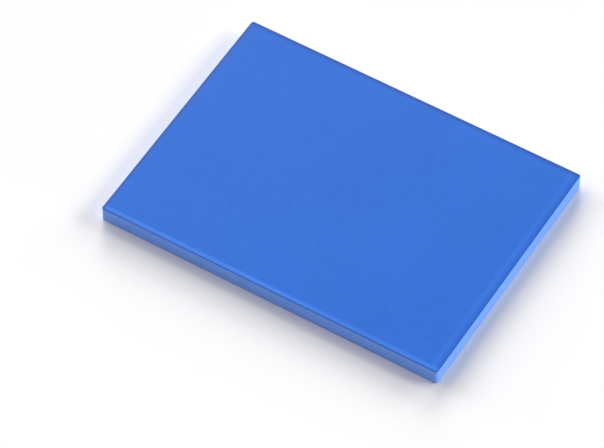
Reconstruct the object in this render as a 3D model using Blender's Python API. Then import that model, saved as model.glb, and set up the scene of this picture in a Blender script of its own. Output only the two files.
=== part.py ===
"""Thermal pad sheet: one flat slab of blue ceramic-filled silicone, knife-cut on all four sides.

Metres, +Z up. The origin is the centre of the underside, +X runs along the sheet's
length and +Y across its width. The sheet lies flat, as it does on a bench.
"""

import math

import bmesh
import bpy

MM = 0.001

# The sheet's own sizes
LENGTH = 105.0 * MM
WIDTH = 77.5 * MM
THICKNESS = 5.0 * MM

# The cut edges: soft silicone rounds over where the blade enters and stays crisper where it leaves
CORNER_RADIUS = 0.8 * MM
TOP_ARRIS_RADIUS = 0.35 * MM
UNDERSIDE_ARRIS_RADIUS = 0.2 * MM

# How many flats draw each round
CORNER_STEPS = 6
ARRIS_STEPS = 4

# A quarter circle, in the bevel operator's own terms
CIRCULAR_PROFILE = 0.5

# Corners nearer in height than this lie on the same level
LEVEL_TOLERANCE = 0.01 * MM

# Faces that meet at less than this are shaded as one round
SMOOTH_UNDER = math.radians(30)

# The silicone's colour and finish
PAD_BLUE = (0.020, 0.150, 0.660, 1.0)
PAD_ROUGHNESS = 0.5


def clear_scene():
    for obj in list(bpy.data.objects):
        bpy.data.objects.remove(obj)


def silicone():
    material = bpy.data.materials.new("blue_silicone")
    material.use_nodes = True
    shader = material.node_tree.nodes["Principled BSDF"]
    shader.inputs["Base Color"].default_value = PAD_BLUE
    shader.inputs["Roughness"].default_value = PAD_ROUGHNESS
    shader.inputs["Metallic"].default_value = 0.0
    return material


def square_block():
    """The sheet before its edges are rounded, with its underside at height zero."""
    bm = bmesh.new()
    bmesh.ops.create_cube(bm, size=1.0)
    bmesh.ops.scale(bm, vec=(LENGTH, WIDTH, THICKNESS), verts=bm.verts)
    bmesh.ops.translate(bm, vec=(0, 0, THICKNESS / 2), verts=bm.verts)
    return bm


def upright_edges(bm):
    return [edge for edge in bm.edges if abs(edge.verts[0].co.z - edge.verts[1].co.z) > LEVEL_TOLERANCE]


def edges_at(bm, height):
    return [edge for edge in bm.edges if all(abs(v.co.z - height) < LEVEL_TOLERANCE for v in edge.verts)]


def round_over(bm, edges, radius, steps):
    bmesh.ops.bevel(
        bm,
        geom=edges,
        offset=radius,
        offset_type="OFFSET",
        profile=CIRCULAR_PROFILE,
        segments=steps,
        affect="EDGES",
        clamp_overlap=True,
    )


def pad_sheet(material):
    """The whole pad: corners rounded in plan first, then the arrises that run round both faces."""
    bm = square_block()
    round_over(bm, upright_edges(bm), CORNER_RADIUS, CORNER_STEPS)
    round_over(bm, edges_at(bm, THICKNESS), TOP_ARRIS_RADIUS, ARRIS_STEPS)
    round_over(bm, edges_at(bm, 0.0), UNDERSIDE_ARRIS_RADIUS, ARRIS_STEPS)

    mesh = bpy.data.meshes.new("pad_sheet")
    bm.to_mesh(mesh)
    bm.free()
    mesh.materials.append(material)
    mesh.shade_smooth()
    mesh.set_sharp_from_angle(angle=SMOOTH_UNDER)
    pad = bpy.data.objects.new("pad_sheet", mesh)
    bpy.context.scene.collection.objects.link(pad)
    return pad


clear_scene()
pad_sheet(silicone())
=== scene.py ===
"""The looks of a thermal pad sheet: a soft slab of blue ceramic-filled silicone, lying on a pale floor.

Metres, +Z up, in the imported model's own frame: +X along the sheet, +Y across it, its underside at zero.
"""

import math

import bpy
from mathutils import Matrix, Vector


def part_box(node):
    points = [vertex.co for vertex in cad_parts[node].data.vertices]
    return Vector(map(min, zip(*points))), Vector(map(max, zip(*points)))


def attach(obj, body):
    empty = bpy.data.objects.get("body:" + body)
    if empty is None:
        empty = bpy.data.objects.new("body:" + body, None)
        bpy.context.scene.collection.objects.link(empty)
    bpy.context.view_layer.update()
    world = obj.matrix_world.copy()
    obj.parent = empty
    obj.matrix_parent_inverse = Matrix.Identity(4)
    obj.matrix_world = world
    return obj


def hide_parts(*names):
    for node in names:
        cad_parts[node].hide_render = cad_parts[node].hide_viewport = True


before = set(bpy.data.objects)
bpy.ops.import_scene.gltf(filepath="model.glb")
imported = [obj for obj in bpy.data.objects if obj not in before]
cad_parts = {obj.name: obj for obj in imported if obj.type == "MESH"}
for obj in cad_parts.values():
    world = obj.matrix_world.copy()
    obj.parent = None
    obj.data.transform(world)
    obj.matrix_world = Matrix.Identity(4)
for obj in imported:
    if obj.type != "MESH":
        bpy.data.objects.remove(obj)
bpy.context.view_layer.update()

MM = 0.001

# The slab's own sizes, from the frame
PAD_LOW, PAD_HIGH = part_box("pad_sheet")
LENGTH, WIDTH, THICKNESS = PAD_HIGH - PAD_LOW

# The rounds of its knife-cut edges
CORNER_RADIUS = 0.8 * MM
TOP_ARRIS_RADIUS = 0.35 * MM
UNDERSIDE_ARRIS_RADIUS = 0.2 * MM

# The lattice that the surface is drawn on: rows on each arris and round each corner, and pitch elsewhere
ARRIS_ROWS = 3
CORNER_ROWS = 3
FACE_PITCH = 0.55 * MM
CUT_PITCH = 0.36 * MM

# How squarely, of 1, the surface faces up or down where it counts as cast, and where it counts as cut
CAST_FACING = 0.75
CUT_FACING = 0.3

# Relief of the cast faces: how far they dip, and how far apart the dips lie
SWELL_DEPTH = 0.03 * MM
SWELL_SIZE = 26.0 * MM
DIMPLE_DEPTH = 0.006 * MM
DIMPLE_SIZE = 3.2 * MM

# The lip of the upper face, pressed down by the blade as it enters: how far it drops, and from how far in
LIP_DROP = 0.05 * MM
LIP_WIDTH = 2.4 * MM

# How squarely, of 1, the surface faces up where the lip begins to show, and where it shows in full
LIP_FACING_START = 0.2
LIP_FACING_FULL = 0.9

# Relief of the cut sides: the hollow that soft silicone springs back to, and the blade's drag marks
HOLLOW_DEPTH = 0.06 * MM
HOLLOW_UNEVENNESS = 0.3
DRAG_DEPTH = 0.02 * MM
DRAG_WIDTH = 1.7 * MM
DRAG_LENGTH = 12.0 * MM

# The seed of all the relief
RELIEF_SEED = 7.0

# The silicone's own textures: clouds of tint, mottling, filler grain and, where it was cut, blade streaks
CLOUD_SIZE = 24.0 * MM
MOTTLE_SIZE = 1.5 * MM
GRAIN_SIZE = 0.35 * MM
STREAK_WIDTH = 0.5 * MM
STREAK_LENGTH = 4.2 * MM

# How much each texture adds to the tint, from 0 for the deep blue of its finish to 1 for the pale one
CAST_TINT = {"clouds": 0.4, "mottle": 0.5}
CUT_TINT = {"streaks": 0.3, "grain": 0.15}

# How rough each finish is, and how much each texture adds to that
CAST_ROUGHNESS = 0.45
CUT_ROUGHNESS = 0.72
CAST_ROUGHENING = {"clouds": 0.02, "mottle": 0.03, "grain": 0.04}
CUT_ROUGHENING = {"streaks": 0.05, "grain": 0.05}

# How high each texture stands, and how strongly all of it shows
CAST_BUMPS = {"grain": 0.009 * MM, "mottle": 0.006 * MM}
CUT_BUMPS = {"grain": 0.014 * MM, "streaks": 0.013 * MM}
BUMP_STRENGTH = 0.6

# Filler that shows through the cast faces: the grain at which it starts and is full, and its strength
FILLER_START = 0.3
FILLER_FULL = 1.1
FILLER_STRENGTH = 0.07

# Bubbles that lie open, with painted shade in their pits. Part of each is flat bottom, and the cast faces
# show less of them than the sides
BUBBLE_SPACING = 2.6 * MM
BUBBLE_RADIUS = 0.17 * MM
BUBBLE_DEPTH = 0.4 * BUBBLE_RADIUS
BUBBLE_FLAT_SHARE = 0.3
BUBBLE_SHADE_STRENGTH = 0.5
CAST_BUBBLE_SHARE = 0.4

# Painted highlights: pale lines on the upper face beside its front and right edges. The right one is the
# fainter
FRONT_LINE_INSET = 0.9 * MM
FRONT_LINE_WIDTH = 1.2 * MM
RIGHT_LINE_INSET = 2.2 * MM
RIGHT_LINE_WIDTH = 1.2 * MM
RIGHT_LINE_SHARE = 0.3
LINE_STRENGTH = 0.8
LINE_UNEVENNESS = 0.3

# Painted shade: the darker rim of both cast faces, on all edges but the front one and widest along the back
RIGHT_RIM_WIDTH = 0.9 * MM
LEFT_RIM_WIDTH = 1.4 * MM
BACK_RIM_WIDTH = 2.0 * MM
RIGHT_RIM_STRENGTH = 0.4
LEFT_RIM_STRENGTH = 0.8

# The silicone's blues, those of its painted highlights and painted shade, and how glossy it is
CAST_DEEP_BLUE = (0.002, 0.122, 0.594, 1.0)
CAST_PALE_BLUE = (0.006, 0.133, 0.629, 1.0)
CUT_DEEP_BLUE = (0.137, 0.302, 0.815, 1.0)
CUT_PALE_BLUE = (0.184, 0.370, 0.870, 1.0)
FILLER_BLUE = (0.16, 0.30, 0.80, 1.0)
HIGHLIGHT_BLUE = (0.045, 0.208, 0.780, 1.0)
RIM_SHADE_BLUE = (0.0, 0.048, 0.270, 1.0)
BUBBLE_SHADE_BLUE = (0.010, 0.090, 0.420, 1.0)
SILICONE_IOR = 1.41
SILICONE_SPECULAR = 0.36

# The photograph's view: its frame in pixels, and the camera that its straight edges give
FRAME_WIDTH_PX = 604
FOCAL_PX = 4381
SENSOR_WIDTH_MM = 36.0
VIEW_AZIMUTH_DEGREES = 31.42
VIEW_ELEVATION_DEGREES = 52.51
VIEW_DISTANCE = 1188.6 * MM
VIEW_SIDESTEP = -10.8 * MM
VIEW_LIFT = -5.8 * MM

# The nearest and the farthest that the camera sees, in metres
NEAREST_SEEN = 0.1
FARTHEST_SEEN = 30.0

# The matt white floor, 16 metres across and just clear of the underside
FLOOR_HALF = 8.0
FLOOR_DROP = 0.02 * MM
FLOOR_WHITE = (0.93, 0.93, 0.93, 1.0)
FLOOR_ROUGHNESS = 0.95

# The lamps are white, but for those that fill the shadows in front
WHITE = (1.0, 1.0, 1.0)
FAINT_VIOLET = (0.98, 0.90, 1.0)

# Each soft lamp's name, its azimuth, elevation and breadth in degrees, and its strength and colour
SOFT_LAMPS = (
    ("left_lamp", 270.0, 20.0, 26.0, 1.24, WHITE),
    ("high_left_lamp", 270.0, 40.0, 32.0, 0.37, WHITE),
    ("back_left_lamp", 240.0, 30.0, 20.0, 0.59, WHITE),
    ("high_back_left_lamp", 225.0, 50.0, 20.0, 0.39, WHITE),
    ("back_lamp", 210.0, 20.0, 26.0, 2.04, WHITE),
    ("back_right_lamp", 150.0, 20.0, 26.0, 1.09, WHITE),
    ("right_lamp", 120.0, 30.0, 20.0, 1.12, WHITE),
    ("low_right_lamp", 90.0, 2.0, 4.0, 1.18, WHITE),
    ("low_front_lamp", 30.0, 2.0, 4.0, 0.37, FAINT_VIOLET),
    ("front_left_lamp", 330.0, 30.0, 20.0, 0.10, FAINT_VIOLET),
    ("high_front_left_lamp", 315.0, 40.0, 32.0, 0.41, FAINT_VIOLET),
)

# The even light from all round, and how bright the empty studio looks beyond the floor
DOME_STRENGTH = 0.04
BACKDROP_STRENGTH = 1.0


class Field:
    """An output in a node tree. Arithmetic on it adds Math nodes to that tree."""

    def __init__(self, graph, socket):
        self.graph = graph
        self.socket = socket

    def __add__(self, other):
        return self.graph.math("ADD", self, other)

    def __radd__(self, other):
        return self.graph.math("ADD", other, self)

    def __sub__(self, other):
        return self.graph.math("SUBTRACT", self, other)

    def __rsub__(self, other):
        return self.graph.math("SUBTRACT", other, self)

    def __mul__(self, other):
        return self.graph.math("MULTIPLY", self, other)

    def __rmul__(self, other):
        return self.graph.math("MULTIPLY", other, self)

    def __truediv__(self, other):
        return self.graph.math("DIVIDE", self, other)

    def __rtruediv__(self, other):
        return self.graph.math("DIVIDE", other, self)

    def __pow__(self, other):
        return self.graph.math("POWER", self, other)

    def __abs__(self):
        return self.graph.math("ABSOLUTE", self)


class Graph:
    """A node tree as it is written, for a shape, a material or the world."""

    def __init__(self, tree):
        self.tree = tree

    def add(self, kind, settings=None, sockets=None, output=0):
        """Adds a node, sets it up, and gives its sockets values or links. Returns one of its outputs."""
        node = self.tree.nodes.new(kind)
        for name, value in (settings or {}).items():
            setattr(node, name, value)
        for name, value in (sockets or {}).items():
            if isinstance(value, Field):
                self.tree.links.new(value.socket, node.inputs[name])
            else:
                node.inputs[name].default_value = value
        return Field(self, node.outputs[output]) if node.outputs else None

    def math(self, operation, *terms):
        return self.add("ShaderNodeMath", {"operation": operation}, dict(enumerate(terms)))

    def vector(self, operation, *terms):
        return self.add("ShaderNodeVectorMath", {"operation": operation}, dict(enumerate(terms)))

    def scaled(self, vector, factor):
        return self.add("ShaderNodeVectorMath", {"operation": "SCALE"}, {"Vector": vector, "Scale": factor})

    def least(self, a, b):
        return self.math("MINIMUM", a, b)

    def most(self, a, b):
        return self.math("MAXIMUM", a, b)

    def joined(self, x, y, z):
        return self.add("ShaderNodeCombineXYZ", sockets={"X": x, "Y": y, "Z": z})

    def split(self, vector):
        node = self.add("ShaderNodeSeparateXYZ", sockets={"Vector": vector}).socket.node
        return [Field(self, output) for output in node.outputs]

    def ramped(self, value, start, end):
        """0 at start, 1 at end, and a soft step between them. Start may be the higher of the two."""
        return self.add(
            "ShaderNodeMapRange",
            {"interpolation_type": "SMOOTHSTEP"},
            {"Value": value, "From Min": start, "From Max": end},
        )

    def noise(self, place, size, seed, detail=1.0):
        """Soft noise of about -1 to 1, in patches of about that size."""
        sockets = {"Vector": place, "W": seed, "Scale": 1 / size, "Detail": detail}
        # The node's own noise keeps mostly between a quarter and three quarters
        return self.add("ShaderNodeTexNoise", {"noise_dimensions": "4D"}, sockets) * 4 - 2

    def upright_noise(self, place, width, length, seed, detail):
        """The same noise drawn out up and down, in marks of about that width and length."""
        drawn_out = self.vector("MULTIPLY", place, self.joined(1.0, 1.0, width / length))
        return self.noise(drawn_out, width, seed, detail)

    def between(self, factor, low, high):
        """A value between two, by a factor from 0 to 1."""
        return low * (1 - factor) + high * factor

    def blend(self, factor, low, high):
        """A colour between two, by a factor from 0 to 1."""
        return self.add("ShaderNodeMix", {"data_type": "RGBA"}, {0: factor, 6: low, 7: high}, output=2)


def shape_graph(name, values):
    """A new shape tree with one named input for each value, as the graph and its inputs by name."""
    kinds = {int: "NodeSocketInt", float: "NodeSocketFloat", bpy.types.Material: "NodeSocketMaterial"}
    tree = bpy.data.node_groups.new(name, "GeometryNodeTree")
    for label, value in values.items():
        tree.interface.new_socket(label, in_out="INPUT", socket_type=kinds[type(value)])
    tree.interface.new_socket("Shape", in_out="OUTPUT", socket_type="NodeSocketGeometry")
    graph = Graph(tree)
    source = tree.nodes.new("NodeGroupInput")
    return graph, {label: Field(graph, source.outputs[label]) for label in values}


def finished_shape(graph, shape, material):
    """Closes a shape tree the way the export needs it: real geometry that carries its material."""
    shape = graph.add("GeometryNodeRealizeInstances", sockets={"Geometry": shape})
    shape = graph.add("GeometryNodeSetMaterial", sockets={"Geometry": shape, "Material": material})
    graph.add("NodeGroupOutput", sockets={"Shape": shape})


def piece_from(graph, name, values):
    """A plain mesh object with what the tree makes of these values."""
    piece = bpy.data.objects.new(name, bpy.data.meshes.new(name))
    bpy.context.scene.collection.objects.link(piece)
    modifier = piece.modifiers.new("shape", "NODES")
    modifier.node_group = graph.tree
    for item in graph.tree.interface.items_tree:
        if item.in_out == "INPUT":
            modifier[item.identifier] = values[item.name]
    depsgraph = bpy.context.evaluated_depsgraph_get()
    mesh = bpy.data.meshes.new_from_object(
        piece.evaluated_get(depsgraph), preserve_all_data_layers=True, depsgraph=depsgraph
    )
    piece.modifiers.clear()
    piece.data = mesh
    mesh.name = name
    mesh.shade_smooth()
    return piece


def graded_inset(g, steps, zones, pitch):
    """How far in from an edge a lattice row lies, by its steps from that edge.

    Each zone is (rows, width), from the edge inwards, and the rows past the zones are a pitch apart.
    """
    inset = 0.0
    for rows, width in zones:
        inset = g.least(g.most(steps, 0.0), rows) / rows * width + inset
        steps = steps - rows
    return g.most(steps, 0.0) * pitch + inset


def rounded_slab(g, size):
    """The slab's own form: a lattice box led onto the flat faces, the cut sides and the rounded edges."""
    cells = [size["Cells X"], size["Cells Y"], size["Cells Z"]]
    halves = [size["Length"] / 2, size["Width"] / 2, size["Thickness"] / 2]
    arris_rows, corner_rows = size["Arris Rows"], size["Corner Rows"]
    corner, top, underside = size["Corner Radius"], size["Top Arris"], size["Underside Arris"]
    lattice = g.add(
        "GeometryNodeMeshCube",
        sockets={
            "Size": g.joined(*cells),
            "Vertices X": cells[0] + 1,
            "Vertices Y": cells[1] + 1,
            "Vertices Z": cells[2] + 1,
        },
    )
    points = g.split(g.add("GeometryNodeInputPosition"))
    steps = [count / 2 - abs(point) for count, point in zip(cells, points)]
    sides = [g.math("SIGN", point) for point in points]

    # How far each point lies in from the edges of the plan, and from the nearer flat face
    up = points[2] / cells[2] + 0.5
    arris_width = (top - underside) * up + underside
    plan_zones = [(arris_rows, arris_width), (corner_rows, corner - arris_width)]
    insets = []
    for axis in (0, 1):
        pitch = (halves[axis] - corner) / (cells[axis] / 2 - arris_rows - corner_rows)
        insets.append(graded_inset(g, steps[axis], plan_zones, pitch))
    radius = (top - underside) * g.math("GREATER_THAN", points[2], 0.0) + underside
    pitch = (halves[2] - radius) / (cells[2] / 2 - arris_rows)
    depth = graded_inset(g, steps[2], [(arris_rows, radius)], pitch)
    inset = g.least(*insets)

    # Points inside the square of the arris are pushed out onto its quarter circle
    inward = g.most(radius - inset, 0.0)
    downward = g.most(radius - depth, 0.0)
    reach = g.math("SQRT", inward * inward + downward * downward)
    spare = 1 - radius / reach
    inset = inward * spare + inset
    depth = downward * spare + depth

    # The plan's corners are rounded the same way, about the core that the corner radius leaves
    plan = g.joined(sides[0] * (halves[0] - insets[0]), sides[1] * (halves[1] - insets[1]), 0.0)
    core_half = g.joined(halves[0] - corner, halves[1] - corner, 0.0)
    core = g.vector("MINIMUM", g.vector("MAXIMUM", plan, g.scaled(core_half, -1.0)), core_half)
    outward = g.vector("NORMALIZE", g.vector("SUBTRACT", plan, core))
    plan = g.vector("ADD", core, g.scaled(outward, corner - inset))
    height = sides[2] * (halves[2] - depth) + halves[2]

    place = g.vector("ADD", plan, g.joined(0.0, 0.0, height))
    return g.add("GeometryNodeSetPosition", sockets={"Geometry": lattice, "Position": place})


def dips(noise, depth):
    """Noise of -1 to 1 as dips of 0 to that depth."""
    return (noise * 0.5 + 0.5) * depth


def side_relief(g, place, size):
    """How far the cut sides are sunk: hollowest at half their height, and marked by the blade."""
    height = g.split(place)[2] / size["Thickness"]
    bow = 1 - (height * 2 - 1) ** 2
    unevenness = g.noise(place, size["Swell Size"], size["Seed"] + 3) * HOLLOW_UNEVENNESS
    hollow = bow * (unevenness + (1 - HOLLOW_UNEVENNESS)) * size["Hollow Depth"]
    drags = g.upright_noise(place, size["Drag Width"], size["Drag Length"], size["Seed"] + 2, detail=2.0)
    return hollow + dips(drags, size["Drag Depth"])


def face_relief(g, place, size):
    """How far the cast faces are sunk: in wide swells, and in dimples."""
    swells = g.noise(place, size["Swell Size"], size["Seed"])
    dimples = g.noise(place, size["Dimple Size"], size["Seed"] + 1, detail=2.0)
    return dips(swells, size["Swell Depth"]) + dips(dimples, size["Dimple Depth"])


def lip_relief(g, place, facing_up, size):
    """How far the edge of the upper face is pressed down, more and more towards the cut."""
    x, y, z = g.split(place)
    inset = g.least(size["Length"] / 2 - abs(x), size["Width"] / 2 - abs(y))
    nearness = g.most(1 - inset / size["Lip Width"], 0.0)
    return nearness ** 2 * g.ramped(facing_up, LIP_FACING_START, LIP_FACING_FULL) * size["Lip Drop"]


def with_relief(g, shape, size):
    """The same slab with its relief, always inwards. Its points keep how far they count as cut."""
    normal = g.add("GeometryNodeInputNormal")
    place = g.add("GeometryNodeInputPosition")
    facing_up = g.split(normal)[2]
    cut = g.ramped(abs(facing_up), CAST_FACING, CUT_FACING)
    shape = g.add(
        "GeometryNodeStoreNamedAttribute",
        {"data_type": "FLOAT", "domain": "POINT"},
        {"Geometry": shape, "Name": "cut", "Value": cut},
    )
    sunk = g.between(cut, face_relief(g, place, size), side_relief(g, place, size))
    sunk = sunk + lip_relief(g, place, facing_up, size)
    offset = g.scaled(normal, sunk * -1)
    return g.add("GeometryNodeSetPosition", sockets={"Geometry": shape, "Offset": offset})


def pad_shape(values):
    """The shape tree of the whole pad."""
    g, size = shape_graph("cut_slab", values)
    shape = rounded_slab(g, size)
    shape = with_relief(g, shape, size)
    finished_shape(g, shape, size["Material"])
    return g


def lattice_cells(span, pitch, edge_rows):
    """Lattice steps over a span, with so many rows kept for each of its two edges."""
    return 2 * edge_rows + 2 * round(span / pitch / 2)


def pad_values(material):
    """The inputs of the pad's shape tree."""
    edge_rows = ARRIS_ROWS + CORNER_ROWS
    upright_span = THICKNESS - TOP_ARRIS_RADIUS - UNDERSIDE_ARRIS_RADIUS
    return {
        "Length": LENGTH,
        "Width": WIDTH,
        "Thickness": THICKNESS,
        "Corner Radius": CORNER_RADIUS,
        "Top Arris": TOP_ARRIS_RADIUS,
        "Underside Arris": UNDERSIDE_ARRIS_RADIUS,
        "Cells X": lattice_cells(LENGTH - 2 * CORNER_RADIUS, FACE_PITCH, edge_rows),
        "Cells Y": lattice_cells(WIDTH - 2 * CORNER_RADIUS, FACE_PITCH, edge_rows),
        "Cells Z": lattice_cells(upright_span, CUT_PITCH, ARRIS_ROWS),
        "Arris Rows": ARRIS_ROWS,
        "Corner Rows": CORNER_ROWS,
        "Swell Depth": SWELL_DEPTH,
        "Swell Size": SWELL_SIZE,
        "Dimple Depth": DIMPLE_DEPTH,
        "Dimple Size": DIMPLE_SIZE,
        "Lip Drop": LIP_DROP,
        "Lip Width": LIP_WIDTH,
        "Hollow Depth": HOLLOW_DEPTH,
        "Drag Depth": DRAG_DEPTH,
        "Drag Width": DRAG_WIDTH,
        "Drag Length": DRAG_LENGTH,
        "Seed": RELIEF_SEED,
        "Material": material,
    }


def material_graph(name):
    """A new material with an empty tree."""
    material = bpy.data.materials.new(name)
    material.use_nodes = True
    material.node_tree.nodes.clear()
    return material, Graph(material.node_tree)


def silicone_textures(g, place):
    """The silicone's own textures by name, each of about -1 to 1."""
    return {
        "clouds": g.noise(place, CLOUD_SIZE, seed=1.0, detail=3.0),
        "mottle": g.noise(place, MOTTLE_SIZE, seed=4.0, detail=2.0),
        "grain": g.noise(place, GRAIN_SIZE, seed=2.0, detail=3.0),
        "streaks": g.upright_noise(place, STREAK_WIDTH, STREAK_LENGTH, seed=3.0, detail=3.0),
    }


def summed(textures, weights):
    """The textures that have a weight, added up by it."""
    return sum(textures[name] * weight for name, weight in weights.items())


def open_bubbles(g, place, cut):
    """Where bubbles lie open, from 0 to 1, most deeply in the cut sides."""
    sockets = {"Vector": place, "Scale": 1 / BUBBLE_SPACING}
    from_bubble = g.add("ShaderNodeTexVoronoi", sockets=sockets, output="Distance") * BUBBLE_SPACING
    hole = g.ramped(from_bubble, BUBBLE_RADIUS, BUBBLE_RADIUS * BUBBLE_FLAT_SHARE)
    return hole * g.between(cut, CAST_BUBBLE_SHARE, 1.0)


def painted_highlight_lines(g, place, clouds):
    """Where the painted highlights lie, as pale lines from 0 to 1, on the upper face alone."""
    x, y, z = g.split(place)
    from_right, from_front = LENGTH / 2 - x, y + WIDTH / 2
    front_line = g.ramped(abs(from_front - FRONT_LINE_INSET), FRONT_LINE_WIDTH, 0.0)
    right_line = g.ramped(abs(from_right - RIGHT_LINE_INSET), RIGHT_LINE_WIDTH, 0.0) * RIGHT_LINE_SHARE
    upper = g.math("GREATER_THAN", z, THICKNESS / 2)
    return g.most(front_line, right_line) * (clouds * LINE_UNEVENNESS + LINE_STRENGTH) * upper


def painted_shade_rims(g, place):
    """Where the painted shade of the darker rims lies, from 0 to 1."""
    x, y, z = g.split(place)
    from_right, from_left, from_back = LENGTH / 2 - x, x + LENGTH / 2, WIDTH / 2 - y
    right_rim = g.ramped(from_right, RIGHT_RIM_WIDTH, 0.0) * RIGHT_RIM_STRENGTH
    left_rim = g.ramped(from_left, LEFT_RIM_WIDTH, 0.0) * LEFT_RIM_STRENGTH
    back_rim = g.ramped(from_back, BACK_RIM_WIDTH, 0.0)
    return g.most(right_rim, g.most(left_rim, back_rim))


def blue_silicone():
    """Alumina-filled silicone: satin where it was cast on film, paler and powdery where it was cut."""
    material, g = material_graph("blue_silicone")
    place = g.add("ShaderNodeTexCoord", output="Object")
    cut = g.add("ShaderNodeAttribute", {"attribute_name": "cut"}, output="Fac")
    textures = silicone_textures(g, place)
    bubbles = open_bubbles(g, place, cut)

    filler = g.ramped(textures["grain"], FILLER_START, FILLER_FULL) * FILLER_STRENGTH
    face = g.blend(summed(textures, CAST_TINT) + 0.5, CAST_DEEP_BLUE, CAST_PALE_BLUE)
    face = g.blend(filler, face, FILLER_BLUE)
    # Painted highlights beside the front and right edges
    face = g.blend(painted_highlight_lines(g, place, textures["clouds"]), face, HIGHLIGHT_BLUE)
    # Painted shade along the back, left and right rims
    face = g.blend(painted_shade_rims(g, place), face, RIM_SHADE_BLUE)
    side = g.blend(summed(textures, CUT_TINT) + 0.5, CUT_DEEP_BLUE, CUT_PALE_BLUE)
    colour = g.blend(cut, face, side)
    # Painted shade in the pits of the open bubbles
    colour = g.blend(bubbles * BUBBLE_SHADE_STRENGTH, colour, BUBBLE_SHADE_BLUE)

    face_roughness = summed(textures, CAST_ROUGHENING) + CAST_ROUGHNESS
    side_roughness = summed(textures, CUT_ROUGHENING) + CUT_ROUGHNESS
    roughness = g.between(cut, face_roughness, side_roughness)
    height = g.between(cut, summed(textures, CAST_BUMPS), summed(textures, CUT_BUMPS))
    height = height - bubbles * BUBBLE_DEPTH
    bump = {"Strength": BUMP_STRENGTH, "Distance": 1.0, "Height": height}
    normal = g.add("ShaderNodeBump", sockets=bump)
    shader = g.add(
        "ShaderNodeBsdfPrincipled",
        sockets={
            "Base Color": colour,
            "Roughness": roughness,
            "Normal": normal,
            "IOR": SILICONE_IOR,
            "Specular IOR Level": SILICONE_SPECULAR,
        },
    )
    g.add("ShaderNodeOutputMaterial", sockets={"Surface": shader})
    return material


def make_pad():
    """The whole pad, in place of its CAD node."""
    values = pad_values(blue_silicone())
    pad = piece_from(pad_shape(values), "thermal_pad", values)
    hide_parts("pad_sheet")
    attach(pad, "root")


def pale_floor():
    """Matt white board."""
    material, g = material_graph("pale_floor")
    sockets = {"Base Color": FLOOR_WHITE, "Roughness": FLOOR_ROUGHNESS}
    shader = g.add("ShaderNodeBsdfPrincipled", sockets=sockets)
    g.add("ShaderNodeOutputMaterial", sockets={"Surface": shader})
    return material


def make_floor():
    """A wide level floor under the pad, which isn't part of it."""
    mesh = bpy.data.meshes.new("floor")
    quarters = ((-1, -1), (1, -1), (1, 1), (-1, 1))
    corners = [(x * FLOOR_HALF, y * FLOOR_HALF, -FLOOR_DROP) for x, y in quarters]
    mesh.from_pydata(corners, [], [(0, 1, 2, 3)])
    mesh.materials.append(pale_floor())
    floor = bpy.data.objects.new("floor", mesh)
    bpy.context.scene.collection.objects.link(floor)


def direction(azimuth, elevation):
    """A unit vector out from the pad, by angles in degrees. Azimuth 0 is in front, at -Y, and 90 at +X."""
    turn, lift = math.radians(azimuth), math.radians(elevation)
    return Vector((math.sin(turn) * math.cos(lift), -math.cos(turn) * math.cos(lift), math.sin(lift)))


def make_camera():
    """The photograph's view, from above the corner between the front and the right side, by a long lens."""
    back = direction(VIEW_AZIMUTH_DEGREES, VIEW_ELEVATION_DEGREES)
    right = direction(VIEW_AZIMUTH_DEGREES + 90, 0)
    up = back.cross(right)
    data = bpy.data.cameras.new("camera")
    data.sensor_width = SENSOR_WIDTH_MM
    data.lens = SENSOR_WIDTH_MM * FOCAL_PX / FRAME_WIDTH_PX
    data.clip_start = NEAREST_SEEN
    data.clip_end = FARTHEST_SEEN
    camera = bpy.data.objects.new("camera", data)
    camera.location = back * VIEW_DISTANCE + right * VIEW_SIDESTEP + up * VIEW_LIFT
    camera.rotation_mode = "QUATERNION"
    camera.rotation_quaternion = (-back).to_track_quat("-Z", "Y")
    bpy.context.scene.collection.objects.link(camera)
    bpy.context.scene.camera = camera


def make_soft_lamp(name, azimuth, elevation, breadth, strength, colour):
    """A round source so far off that only its direction and its breadth in degrees count."""
    data = bpy.data.lights.new(name, "SUN")
    data.angle = math.radians(breadth)
    data.energy = strength
    data.color = colour
    lamp = bpy.data.objects.new(name, data)
    lamp.rotation_mode = "QUATERNION"
    lamp.rotation_quaternion = direction(azimuth, elevation).to_track_quat("Z", "Y")
    bpy.context.scene.collection.objects.link(lamp)


def make_surroundings():
    """Even white light from all round, with a brighter backdrop where the camera looks past the floor."""
    world = bpy.data.worlds.new("studio")
    world.use_nodes = True
    world.node_tree.nodes.clear()
    g = Graph(world.node_tree)
    seen = g.add("ShaderNodeLightPath", output="Is Camera Ray")
    strength = g.between(seen, DOME_STRENGTH, BACKDROP_STRENGTH)
    glow = g.add("ShaderNodeBackground", sockets={"Color": (*WHITE, 1.0), "Strength": strength})
    g.add("ShaderNodeOutputWorld", sockets={"Surface": glow})
    bpy.context.scene.world = world


def light_studio():
    """The surroundings and the lamps, with colours shown as they are."""
    make_surroundings()
    for lamp in SOFT_LAMPS:
        make_soft_lamp(*lamp)
    bpy.context.scene.view_settings.view_transform = "Standard"


make_camera()
make_pad()
make_floor()
light_studio()
